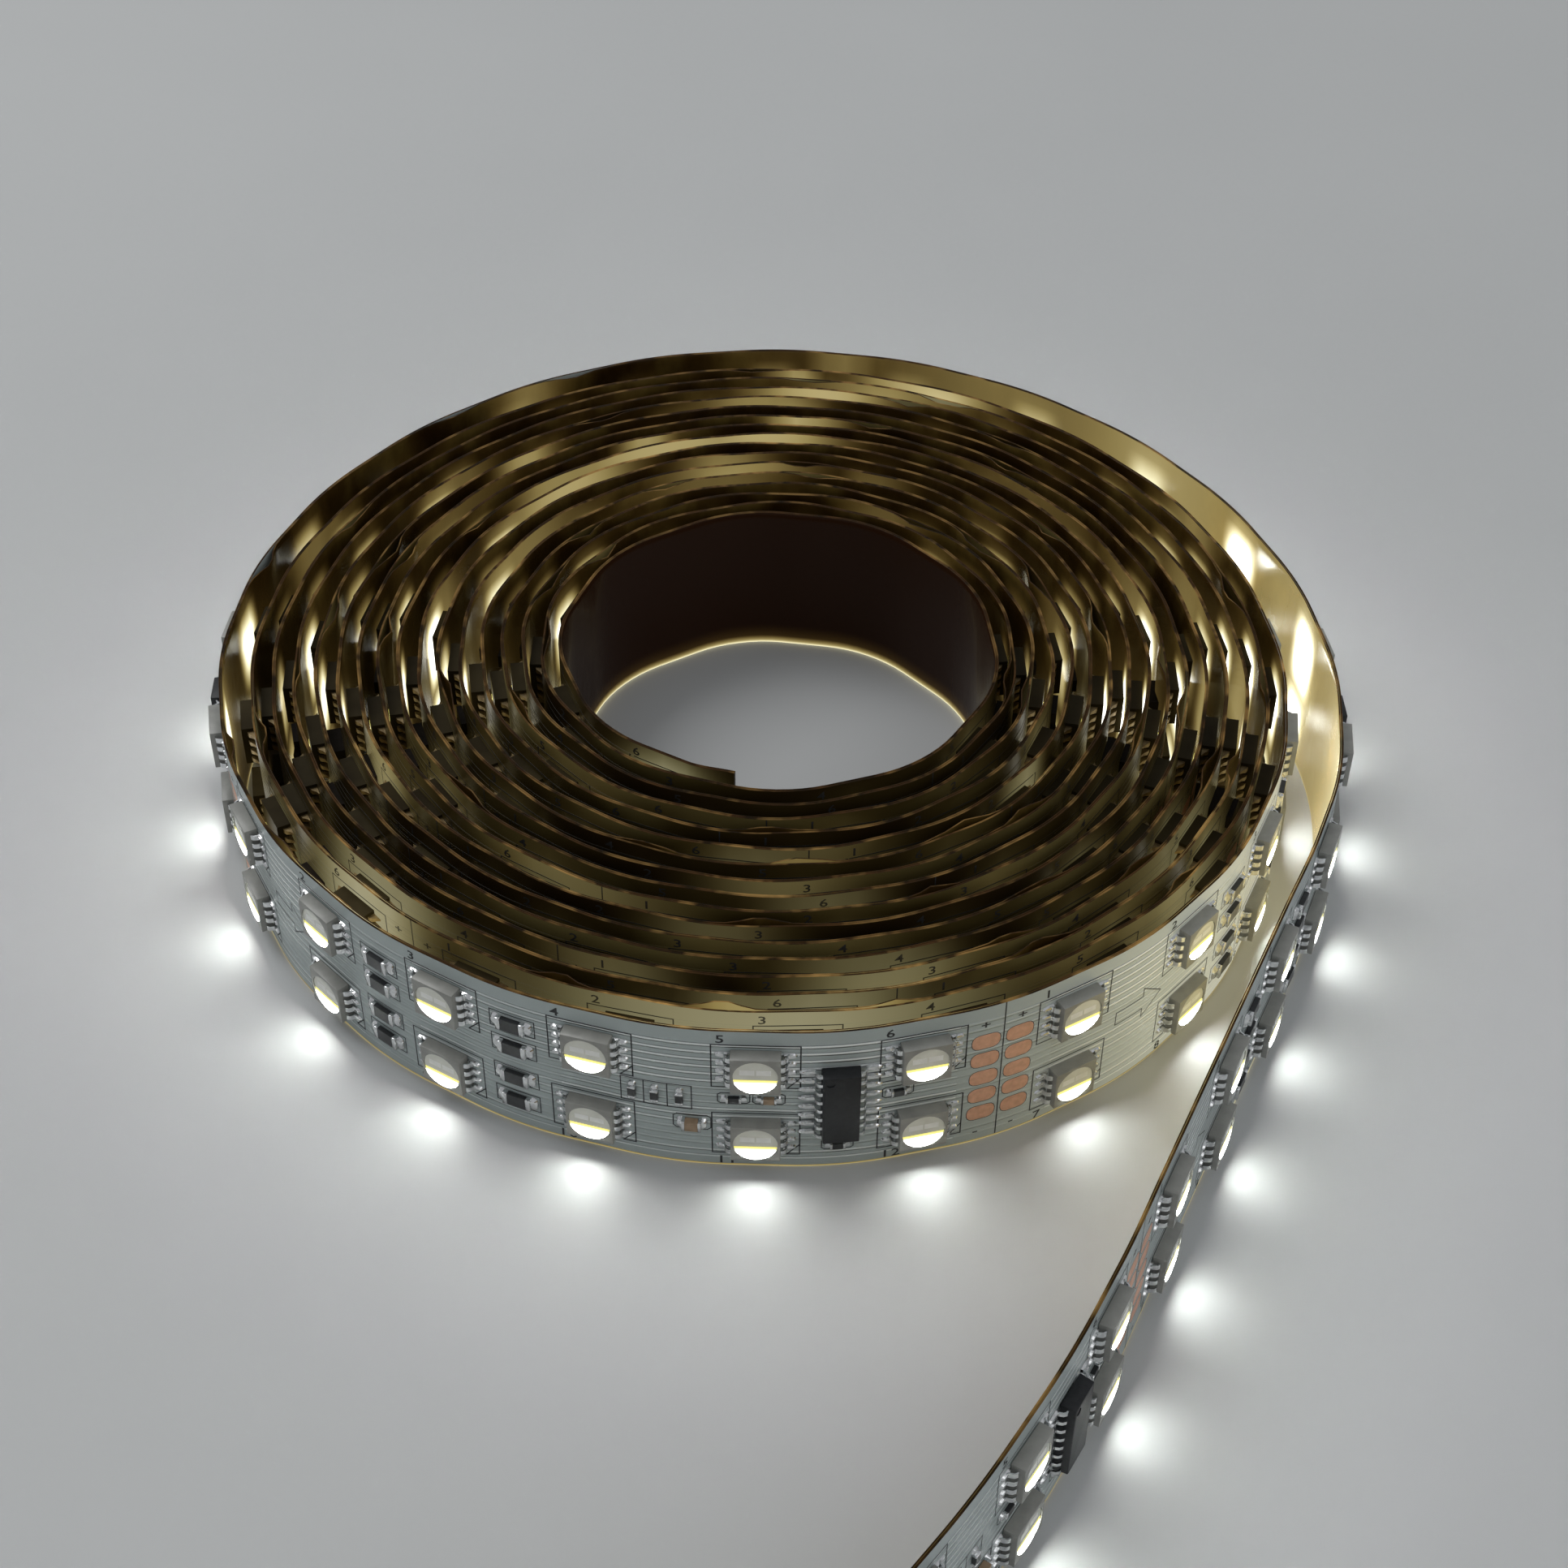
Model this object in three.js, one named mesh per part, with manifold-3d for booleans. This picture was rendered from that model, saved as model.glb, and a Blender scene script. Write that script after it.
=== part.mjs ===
// A reel of double-row LED strip light, wound in a coil that stands on its edge,
// with the outer end unwound towards the front.
// Units are millimetres, +Z is up, and the origin is under the middle of the whole part.

import * as THREE from 'three';
import { mergeVertices } from 'three/addons/utils/BufferGeometryUtils.js';
import Module from 'manifold-3d';

const wasm = await Module();
wasm.setup();

// The strip, a laminate of a flexible circuit and an adhesive tape with its liner
const stripWidth = 20;
const circuitThickness = 0.22;
const bondLine = 0.03;
const tapeThickness = 0.15;

// The pattern along the strip: it can be cut after each segment
const segmentLength = 100;
const segmentCount = 46;
const columnsPerSegment = 6;
const rowSpacing = 10;

// The wound coil, measured on the circuit's outer face
const coilRadius = 60.3;
const turnPitch = 2.2;
const firstTurnSlack = 3.7;
const coreShiftX = 1.2;
const coreShiftY = 1.8;
const coreShiftTurns = 16.5;
const lobes = [
  { count: 2, sine: 0.6, cosine: -0.4 },
  { count: 3, sine: 0.3, cosine: -0.25 },
];
const unevenDepth = 0.12;
const unevenTurns = 7.9;

// The unwound end, from the coil's right side to the free end
const tailFirstBend = { length: 32.3, sweep: 28.6 };
const tailStraight = { length: 55.5, sweep: 0 };
const tailLastBend = { length: 99.4, sweep: 33 };

// The packages soldered on the circuit's outer face: length along the strip,
// height across it, and thickness
const ledSize = 5;
const ledThickness = 1.45;
const ledWindow = 4.5;
const windowDepth = 0.2;
const windowSides = 12;
const resistorSize = { length: 3.2, height: 1.6, thickness: 0.55 };
const smallSize = { length: 1.6, height: 0.8, thickness: 0.45 };
const capacitorSize = { length: 2, height: 1.25, thickness: 0.8 };
const chipSize = { length: 3.9, height: 9.9, thickness: 1.6 };
const leadSpan = 6;
const leadPitch = 1.27;
const leadWidth = 0.42;
const leadThickness = 0.2;
const leadShoulder = 0.85;
const leadsPerSide = 8;
const chipStandoff = 0.1;
const footClearance = 1.45;
const supplyDrop = 3.6;
const solderGap = 0.05;

// Segments count from the free end of the tail. The first six lie on the outside of the reel;
// the LEDs of three are pieces of their own, and one shows at the front with all its parts.
const exposedSegments = 6;
const ledSegments = [1, 2, 5];
const frontSegment = 5;

// Facets: the strip lies flat under each package and bends in between
const flatLength = ledSize + 0.5;
const chipFlatLength = leadSpan;
const pathStep = 0.25;
const fuseDepth = 0.1;

const columnPitch = segmentLength / columnsPerSegment;
const stripLength = segmentLength * segmentCount;
const tailLength = tailFirstBend.length + tailStraight.length + tailLastBend.length;
const middle = stripWidth / 2;
const rows = { upper: middle + rowSpacing / 2, lower: middle - rowSpacing / 2 };
const chipCentre = middle + 0.2;
const resistorHeights = [5.2, 1.8, -2.5, -6].map((offset) => middle + offset);

const white = new THREE.MeshStandardMaterial({ color: 0xe9edf0, roughness: 0.45, metalness: 0 });
const amber = new THREE.MeshStandardMaterial({ color: 0xa9772f, roughness: 0.35, metalness: 0 });
const ledWhite = new THREE.MeshStandardMaterial({ color: 0xf2f2ec, roughness: 0.4, metalness: 0 });
const charcoal = new THREE.MeshStandardMaterial({ color: 0x24262a, roughness: 0.55, metalness: 0 });
const black = new THREE.MeshStandardMaterial({ color: 0x17181a, roughness: 0.5, metalness: 0 });
const tan = new THREE.MeshStandardMaterial({ color: 0x9a7d5c, roughness: 0.5, metalness: 0 });

// The small parts of a segment: their offset from an LED column, or from the middle between
// two columns, and their height
const resistor = { size: smallSize, material: black };
const uprightSize = { ...smallSize, length: smallSize.height, height: smallSize.length };
const address = { size: uprightSize, material: black, height: middle };
const between = middle + 0.3;
const foot = chipCentre - chipSize.height / 2 - footClearance - smallSize.height / 2;
const supply = { size: capacitorSize, material: tan, height: middle - supplyDrop };
const smallParts = [
  { name: 'address_resistor_1', ...address, column: 4.5, offset: -4.07 },
  { name: 'address_resistor_2', ...address, column: 4.5, offset: -1.77 },
  { name: 'address_resistor_3', ...address, column: 4.5, offset: 0.73 },
  { name: 'supply_capacitor', ...supply, column: 4.5, offset: 1.93 },
  { name: 'bias_resistor', ...resistor, column: 5, offset: -2.2, height: between },
  { name: 'filter_capacitor', size: smallSize, material: tan, column: 5, offset: 1.3, height: between },
  { name: 'foot_resistor', ...resistor, column: 5.5, offset: -0.13, height: foot },
  { name: 'output_resistor', ...resistor, column: 6, offset: -2.47, height: between },
];

// One point of the coil's plan. Turns count inwards from the coil's right side, where the tail
// leaves it, by way of the back, the left and the front.
function coilPoint(turns) {
  const angle = 2 * Math.PI * (turns - 0.75);
  const slack = firstTurnSlack * Math.max(1 - turns, 0) ** 1.5;
  let radius = coilRadius - turnPitch * turns + slack;
  const share = radius / coilRadius;
  for (const { count, sine, cosine } of lobes) {
    radius += share * (sine * Math.sin(count * angle) + cosine * Math.cos(count * angle));
  }
  radius += unevenDepth * Math.sin((2 * Math.PI * turns) / unevenTurns);
  const drift = Math.min(turns / coreShiftTurns, 1);
  return new THREE.Vector2(
    radius * Math.sin(angle) + coreShiftX * drift,
    -radius * Math.cos(angle) + coreShiftY * drift,
  );
}

// The tail's points from the coil outwards, along its arcs
function tailPoints() {
  const start = coilPoint(0);
  const next = coilPoint(0.001);
  const point = start.clone();
  let heading = Math.atan2(start.y - next.y, start.x - next.x);
  const points = [];
  for (const bend of [tailFirstBend, tailStraight, tailLastBend]) {
    const steps = Math.ceil(bend.length / pathStep);
    const turn = -THREE.MathUtils.degToRad(bend.sweep) / steps;
    for (let i = 0; i < steps; i++) {
      heading += turn / 2;
      point.x += (bend.length / steps) * Math.cos(heading);
      point.y += (bend.length / steps) * Math.sin(heading);
      heading += turn / 2;
      points.push(point.clone());
    }
  }
  return points;
}

// The whole path from the free end of the tail to the inner end of the coil, with the
// length run at each point
function stripPath() {
  const points = tailPoints().reverse();
  const lengths = [0];
  for (let i = 1; i < points.length; i++) {
    lengths.push(lengths[i - 1] + points[i].distanceTo(points[i - 1]));
  }
  let turns = 0;
  while (lengths.at(-1) < stripLength + pathStep) {
    const point = coilPoint(turns);
    lengths.push(lengths.at(-1) + point.distanceTo(points.at(-1)));
    points.push(point);
    turns += pathStep / (2 * Math.PI * point.length());
  }
  return { points, lengths };
}

const path = stripPath();

function pointAt(station) {
  let low = 0;
  let high = path.lengths.length - 1;
  while (high - low > 1) {
    const half = (low + high) >> 1;
    if (path.lengths[half] <= station) low = half;
    else high = half;
  }
  const share = (station - path.lengths[low]) / (path.lengths[high] - path.lengths[low]);
  return path.points[low].clone().lerp(path.points[high], share);
}

const columnCount = segmentCount * columnsPerSegment;
const columnStation = (column) => (column - 0.5) * columnPitch;

// The stations where the strip changes direction. Halfway between two columns of the coil it
// bends once more, or lies flat on the outer turn, where its resistors and chips are modelled.
function bendStations() {
  const stations = [0];
  for (let column = 1; column <= columnCount; column++) {
    const station = columnStation(column);
    stations.push(station - flatLength / 2, station + flatLength / 2);
    const halfway = station + columnPitch / 2;
    if (halfway > tailLength && column < exposedSegments * columnsPerSegment) {
      stations.push(halfway - chipFlatLength / 2, halfway + chipFlatLength / 2);
    } else if (halfway > tailLength) {
      stations.push(halfway);
    }
  }
  if (stations.at(-1) < stripLength - pathStep) stations.push(stripLength);
  return stations;
}

const stations = bendStations();
const corners = stations.map(pointAt);

// At each bend, the direction that keeps both neighbouring faces parallel to the outer face
const mitres = corners.map((corner, i) => {
  const before = corners[Math.max(i - 1, 0)];
  const after = corners[Math.min(i + 1, corners.length - 1)];
  const first = corner.clone().sub(before).normalize();
  const second = after.clone().sub(corner).normalize();
  if (i === 0) first.copy(second);
  if (i === corners.length - 1) second.copy(first);
  const along = first.clone().add(second).normalize();
  const inward = new THREE.Vector2(-along.y, along.x);
  return inward.divideScalar(first.dot(along));
});

// A place on the strip's outer face: its point, and the angle of the flat that it is on
function placeAt(station) {
  let i = 1;
  while (i < stations.length - 1 && stations[i] < station) i++;
  const share = (station - stations[i - 1]) / (stations[i] - stations[i - 1]);
  const point = corners[i - 1].clone().lerp(corners[i], share);
  const along = corners[i].clone().sub(corners[i - 1]);
  return { point, angle: Math.atan2(along.y, along.x) };
}

// A ribbon along the whole path between two depths under the circuit's outer face
function ribbonGeometry(outerDepth, innerDepth) {
  const positions = [];
  for (let i = 0; i < corners.length; i++) {
    const outer = corners[i].clone().addScaledVector(mitres[i], outerDepth);
    const inner = corners[i].clone().addScaledVector(mitres[i], innerDepth);
    positions.push(outer.x, outer.y, 0, outer.x, outer.y, stripWidth);
    positions.push(inner.x, inner.y, stripWidth, inner.x, inner.y, 0);
  }
  const indices = [];
  for (let i = 0; i < corners.length - 1; i++) {
    for (let side = 0; side < 4; side++) {
      const near = 4 * i + side;
      const far = 4 * i + ((side + 1) % 4);
      indices.push(near, near + 4, far + 4, near, far + 4, far);
    }
  }
  const end = 4 * (corners.length - 1);
  indices.push(0, 1, 2, 0, 2, 3);
  indices.push(end, end + 2, end + 1, end, end + 3, end + 2);
  const geometry = new THREE.BufferGeometry();
  geometry.setAttribute('position', new THREE.Float32BufferAttribute(positions, 3));
  geometry.setIndex(indices);
  return geometry;
}

function toSolid(geometry) {
  const bare = geometry.clone();
  bare.deleteAttribute('normal');
  bare.deleteAttribute('uv');
  const merged = mergeVertices(bare, 1e-5);
  return new wasm.Manifold(new wasm.Mesh({
    numProp: 3,
    vertProperties: new Float32Array(merged.attributes.position.array),
    triVerts: new Uint32Array(merged.index.array),
  }));
}

function toGeometry(solid) {
  const mesh = solid.getMesh();
  const geometry = new THREE.BufferGeometry();
  geometry.setAttribute('position', new THREE.Float32BufferAttribute(mesh.vertProperties, 3));
  geometry.setIndex(new THREE.Uint32BufferAttribute(mesh.triVerts, 1));
  return geometry;
}

// A block on the strip's outer face, which is the local plane y = 0, with outside at -y
function block(length, height, thickness, sink = 0) {
  const geometry = new THREE.BoxGeometry(length, thickness + sink, height);
  geometry.translate(0, (sink - thickness) / 2, 0);
  return geometry;
}

const chipBlock = (size, sink = 0) => block(size.length, size.height, size.thickness, sink);

// The LED package: a square body with a round window let into its face
function ledGeometry() {
  const window = new THREE.CylinderGeometry(ledWindow / 2, ledWindow / 2, 2 * windowDepth, windowSides);
  window.rotateY(Math.PI / windowSides);
  window.translate(0, -ledThickness, 0);
  const body = toSolid(block(ledSize, ledSize, ledThickness));
  return toGeometry(body.subtract(toSolid(window)));
}

// One bent lead of the control chip, on its right (side 1) or left (side -1)
function leadGeometry(side) {
  const root = chipSize.length / 2;
  const foot = leadSpan / 2;
  const knee = (root + foot) / 2;
  const profile = new THREE.Shape();
  profile.moveTo(side * (root - fuseDepth), -leadShoulder);
  profile.lineTo(side * (root - fuseDepth), leadThickness - leadShoulder);
  profile.lineTo(side * knee, 0);
  profile.lineTo(side * foot, 0);
  profile.lineTo(side * foot, -leadThickness);
  const lead = new THREE.ExtrudeGeometry(profile, { depth: leadWidth, bevelEnabled: false });
  lead.translate(0, 0, -leadWidth / 2);
  return lead;
}

// The control chip: a body carried a little above the strip on two rows of bent leads
function controlChipGeometry() {
  const { length, height, thickness } = chipSize;
  const body = block(length, height, thickness - chipStandoff);
  body.translate(0, -chipStandoff, 0);
  let solid = toSolid(body);
  for (const side of [1, -1]) {
    for (let i = 0; i < leadsPerSide; i++) {
      const lead = leadGeometry(side);
      lead.translate(0, 0, (i - (leadsPerSide - 1) / 2) * leadPitch);
      solid = solid.add(toSolid(lead));
    }
  }
  return toGeometry(solid);
}

const reel = new THREE.Group();

// Stands a package on the strip's outer face, on its solder
function addPackage(name, geometry, material, station, height) {
  const { point, angle } = placeAt(station);
  const mesh = new THREE.Mesh(geometry, material);
  mesh.name = name;
  mesh.position.set(
    point.x + solderGap * Math.sin(angle),
    point.y - solderGap * Math.cos(angle),
    height,
  );
  mesh.rotation.z = angle;
  reel.add(mesh);
}

// A package that is one solid with the circuit
function fusePackage(solid, geometry, station, height) {
  const { point, angle } = placeAt(station);
  const placed = geometry.clone().rotateZ(angle).translate(point.x, point.y, height);
  return solid.add(toSolid(placed));
}

const segmentStart = (segment) => (segment - 1) * segmentLength;
const gapAfter = (column) => column * columnPitch;
const segmentIndex = Array.from({ length: exposedSegments }, (_, i) => i + 1);

// The LEDs of each column, in two rows
for (const segment of ledSegments) {
  for (let column = 1; column <= columnsPerSegment; column++) {
    const number = (segment - 1) * columnsPerSegment + column;
    for (const [row, height] of Object.entries(rows)) {
      addPackage(`led_${row}_${number}`, ledGeometry(), ledWhite, columnStation(number), height);
    }
  }
}

// One control chip in each segment, between its last two columns
for (const segment of segmentIndex) {
  const station = segmentStart(segment) + gapAfter(columnsPerSegment - 1);
  addPackage(`control_chip_${segment}`, controlChipGeometry(), charcoal, station, chipCentre);
}

// The power resistors: a stack of four after the second column and after the third
const resistorSpots = [];
for (const column of [2, 3]) {
  for (const height of resistorHeights) resistorSpots.push({ along: gapAfter(column), height });
}
resistorSpots.forEach((spot, i) => {
  const station = segmentStart(frontSegment) + spot.along;
  addPackage(`power_resistor_${i + 1}`, chipBlock(resistorSize), black, station, spot.height);
});

// The small parts around the control chip
for (const part of smallParts) {
  const column = (frontSegment - 1) * columnsPerSegment + part.column;
  const station = columnStation(column) + part.offset;
  addPackage(part.name, chipBlock(part.size), part.material, station, part.height);
}

// The circuit, with the LEDs and resistors of the other outer segments as one solid with it
const fusedLed = block(ledSize, ledSize, ledThickness, fuseDepth);
let circuit = toSolid(ribbonGeometry(0, circuitThickness));
for (const segment of segmentIndex) {
  if (!ledSegments.includes(segment)) {
    for (let column = 1; column <= columnsPerSegment; column++) {
      const station = columnStation((segment - 1) * columnsPerSegment + column);
      for (const height of Object.values(rows)) {
        circuit = fusePackage(circuit, fusedLed, station, height);
      }
    }
  }
  if (segment !== frontSegment) {
    for (const spot of resistorSpots) {
      const fused = chipBlock(resistorSize, fuseDepth);
      circuit = fusePackage(circuit, fused, segmentStart(segment) + spot.along, spot.height);
    }
  }
}

// So are the upper LEDs of the inner turns, which show between the turns
for (let column = exposedSegments * columnsPerSegment + 1; column <= columnCount; column++) {
  circuit = fusePackage(circuit, fusedLed, columnStation(column), rows.upper);
}
const circuitMesh = new THREE.Mesh(toGeometry(circuit), white);
circuitMesh.name = 'flex_circuit';
reel.add(circuitMesh);

// The adhesive tape and its release liner, on the circuit's back
const tapeDepth = circuitThickness + bondLine;
const tape = new THREE.Mesh(ribbonGeometry(tapeDepth, tapeDepth + tapeThickness), amber);
tape.name = 'adhesive_tape';
reel.add(tape);

// The origin goes under the middle of the whole part
const box = new THREE.Box3().setFromObject(reel, true);
reel.position.x = -(box.min.x + box.max.x) / 2;
reel.position.y = -(box.min.y + box.max.y) / 2;

export default reel;
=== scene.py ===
import math
import random

import bmesh
import bpy
import numpy as np
from mathutils import Matrix, Vector


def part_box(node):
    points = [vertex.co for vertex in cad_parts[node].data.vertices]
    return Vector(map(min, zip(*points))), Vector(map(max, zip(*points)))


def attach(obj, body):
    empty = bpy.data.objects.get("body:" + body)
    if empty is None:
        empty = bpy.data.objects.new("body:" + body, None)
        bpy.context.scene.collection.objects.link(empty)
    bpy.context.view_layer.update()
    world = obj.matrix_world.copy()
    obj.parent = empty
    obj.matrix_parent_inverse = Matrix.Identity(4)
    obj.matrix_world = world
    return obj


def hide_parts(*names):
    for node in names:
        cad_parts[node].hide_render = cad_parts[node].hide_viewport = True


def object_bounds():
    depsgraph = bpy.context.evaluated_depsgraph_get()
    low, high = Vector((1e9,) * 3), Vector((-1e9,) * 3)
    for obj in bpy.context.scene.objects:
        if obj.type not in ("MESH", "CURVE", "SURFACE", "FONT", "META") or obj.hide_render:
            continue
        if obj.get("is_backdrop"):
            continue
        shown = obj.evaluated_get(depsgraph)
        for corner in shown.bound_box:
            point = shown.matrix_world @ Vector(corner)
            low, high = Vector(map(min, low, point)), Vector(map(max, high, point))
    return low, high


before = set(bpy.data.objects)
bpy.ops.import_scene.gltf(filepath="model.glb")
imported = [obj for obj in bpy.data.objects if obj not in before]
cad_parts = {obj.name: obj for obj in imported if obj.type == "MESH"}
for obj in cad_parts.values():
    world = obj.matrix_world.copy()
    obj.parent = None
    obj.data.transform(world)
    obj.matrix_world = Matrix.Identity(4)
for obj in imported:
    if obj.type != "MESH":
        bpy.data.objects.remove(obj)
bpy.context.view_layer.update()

bpy.ops.object.select_all(action="DESELECT")


# The strip's line: the real strip is one ribbon that runs from the free end of its tail, in at the
# coil's right side and round to the core. It stays flat under each LED column and bends in between.
MM = 1000
SEGMENT = 100
SEGMENTS = 46
LENGTH = SEGMENT * SEGMENTS
COLUMN = SEGMENT / 6
COLUMNS = 6 * SEGMENTS
HALF_FLAT = 2.75
BEND_STEPS = 8
COIL_RADIUS = 60.3
TURN_PITCH = 2.2
FRONT_TURN = 0.75
TAIL_BENDS = ((32.3, 28.6), (55.5, 0), (99.4, 33))
TAIL_STEP = 0.25
LED_MIDDLE = 0.775


def coil_point(turns):
    """A place on the coil, so many turns in from its outer end. The coil is a little out of round."""
    angle = 2 * np.pi * (turns - FRONT_TURN)
    slack = 3.7 * np.maximum(1 - turns, 0) ** 1.5
    oval = 0.6 * np.sin(2 * angle) - 0.4 * np.cos(2 * angle)
    three = 0.3 * np.sin(3 * angle) - 0.25 * np.cos(3 * angle)
    wave = 0.12 * np.sin(2 * np.pi * turns / 7.9)
    radius = (COIL_RADIUS - TURN_PITCH * turns + slack) * (1 + (oval + three) / COIL_RADIUS) + wave
    drift = np.minimum(turns / 16.5, 1)
    return np.array([radius * np.sin(angle) + 1.2 * drift, -radius * np.cos(angle) + 1.8 * drift])


point = coil_point(0.0)
away = point - coil_point(0.001)
heading = math.atan2(away[1], away[0])
tail = []
for length, sweep in TAIL_BENDS:
    steps = math.ceil(length / TAIL_STEP)
    turn = -math.radians(sweep) / steps
    for _ in range(steps):
        heading += turn / 2
        point = point + length / steps * np.array([math.cos(heading), math.sin(heading)])
        heading += turn / 2
        tail.append(point)
coil_turns = np.arange(0, 17.2, 0.0005)
run = np.vstack((np.array(tail[::-1]), coil_point(coil_turns).T))
run_length = np.concatenate(([0], np.cumsum(np.hypot(*np.diff(run, axis=0).T))))
coil_length = run_length[len(tail):]


def on_run(station):
    """A place on the smooth line, so many millimetres from the free end."""
    return np.array([np.interp(station, run_length, run[:, 0]), np.interp(station, run_length, run[:, 1])])


def middle_of(column):
    return (column - 0.5) * COLUMN


def bend_rows(last, near):
    """Steps of the bend between two flats, each flat given as (station, place, direction)."""
    chord = np.linalg.norm(near[1] - last[1])
    steps = []
    for i in range(1, BEND_STEPS + 1):
        t = i / BEND_STEPS
        place = (
            (2 * t**3 - 3 * t**2 + 1) * last[1]
            + (t**3 - 2 * t**2 + t) * chord * last[2]
            + (3 * t**2 - 2 * t**3) * near[1]
            + (t**3 - t**2) * chord * near[2]
        )
        slope = (
            (6 * t**2 - 6 * t) * (last[1] - near[1])
            + (3 * t**2 - 4 * t + 1) * chord * last[2]
            + (3 * t**2 - 2 * t) * chord * near[2]
        )
        steps.append((last[0] + t * (near[0] - last[0]), *place, math.atan2(slope[1], slope[0])))
    return steps


first_step = on_run(COLUMN / 2 - HALF_FLAT) - on_run(0.0)
last = (0.0, on_run(0.0), first_step / np.linalg.norm(first_step))
rows = [(last[0], *last[1], math.atan2(last[2][1], last[2][0]))]
for column in range(1, COLUMNS + 1):
    middle = middle_of(column)
    start, end = on_run(middle - HALF_FLAT), on_run(middle + HALF_FLAT)
    along = (end - start) / np.linalg.norm(end - start)
    rows += bend_rows(last, (middle - HALF_FLAT, start, along))
    rows.append((middle, *((start + end) / 2), math.atan2(along[1], along[0])))
    rows.append((middle + HALF_FLAT, *end, math.atan2(along[1], along[0])))
    last = (middle + HALF_FLAT, end, along)
end = on_run(float(LENGTH))
rows += bend_rows(last, (float(LENGTH), end, (end - last[1]) / np.linalg.norm(end - last[1])))
line = np.array(rows)
line[:, 3] = np.unwrap(line[:, 3])

# The part's own origin lies elsewhere, so one LED of the frame tells how far to move the line.
low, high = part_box("led_upper_29")
here = [np.interp(middle_of(29), line[:, 0], line[:, k]) for k in (1, 2, 3)]
line[:, 1] += (low[0] + high[0]) * MM / 2 - here[0] - LED_MIDDLE * math.sin(here[2])
line[:, 2] += (low[1] + high[1]) * MM / 2 - here[1] + LED_MIDDLE * math.cos(here[2])
shift = line[0, 1:3] - np.array(rows[0][1:3])


# The flexible circuit: a polyimide and copper ribbon, white solder mask on both faces, cut from a
# sheet so that its edges show brown. The copper tracks show as fine raised lines under the mask; their
# lighter tone is partly painted highlight, and the mask's grey between them is painted shade. The golden
# light on the faces of the inner turns, from the liner before them, is painted: an emission set per corner.
WIDTH = 20
TRACK_PITCH = 1.04
UPPER_LIGHT = 13
LOWER_LIGHT = 3
# Stretches of the gaps between turns that get painted light, listed as (turns in, half length, strength).
LISTED_LIT_GAPS = (
    (1.75, 24, 0.60), (1.62, 9, 0.66), (1.885, 8, 0.40), (2.765, 8, 0.28), (2.62, 10, 0.50),
    (3.70, 8, 0.24), (4.78, 8, 0.30), (6.73, 7, 0.25), (8.77, 7, 0.26), (11.76, 8, 0.22),
    (2.19, 10, 0.42), (9.30, 16, 0.40),
)
MORE_LIT_GAPS = 44
BESIDE_TAIL = (492, 530, 590, 640)
OUTER_MASK, EDGES, INNER_MASK = 0, 1, 2


def wind(station, out, height):
    """Corners in metres for points given in millimetres along, out from and up the strip."""
    x, y, a = (np.interp(station, line[:, 0], line[:, k]) for k in (1, 2, 3))
    return np.column_stack((x + out * np.sin(a), y - out * np.cos(a), height + 0 * x)) / MM


def ribbon(ring, stations, pull=None):
    """A closed ribbon along the stations. Ring lists its cross-section as (out, height)."""
    count, size = len(stations), len(ring)
    out = np.tile([p[0] for p in ring], count)
    up = np.tile([p[1] for p in ring], count)
    station = np.repeat(stations, size)
    if pull is not None:
        out = out - pull(station, up)
    corners = wind(station, out, up)
    faces = [
        [i * size + j, (i + 1) * size + j, (i + 1) * size + (j + 1) % size, i * size + (j + 1) % size]
        for i in range(count - 1)
        for j in range(size)
    ]
    faces.append(list(range(size))[::-1])
    faces.append([(count - 1) * size + j for j in range(size)])
    return (corners, faces), np.column_stack((station / SEGMENT, up / WIDTH))


def make(name, shape, material, smooth=40, uv=None, values=(), closed=True):
    """One finished piece of the reel, at the origin and riding on it. Values are named per corner."""
    corners, faces = shape
    mesh = bpy.data.meshes.new(name)
    mesh.from_pydata(corners.tolist(), [], faces)
    if uv is not None:
        layer = mesh.uv_layers.new(name="Strip")
        loops = np.zeros(len(mesh.loops), int)
        mesh.loops.foreach_get("vertex_index", loops)
        layer.data.foreach_set("uv", uv[loops].astype(np.float32).ravel())
    for title, numbers in values:
        layer = mesh.attributes.new(title, "FLOAT", "POINT")
        layer.data.foreach_set("value", numbers.astype(np.float32))
    if closed:
        bm = bmesh.new()
        bm.from_mesh(mesh)
        bmesh.ops.recalc_face_normals(bm, faces=bm.faces)
        bm.to_mesh(mesh)
        bm.free()
    mesh.polygons.foreach_set("use_smooth", [smooth > 0] * len(mesh.polygons))
    mesh.set_sharp_from_angle(angle=math.radians(max(smooth, 1)))
    for m in material if isinstance(material, list) else [material]:
        mesh.materials.append(m)
    obj = bpy.data.objects.new(name, mesh)
    bpy.context.scene.collection.objects.link(obj)
    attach(obj, "root")
    return obj


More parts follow.
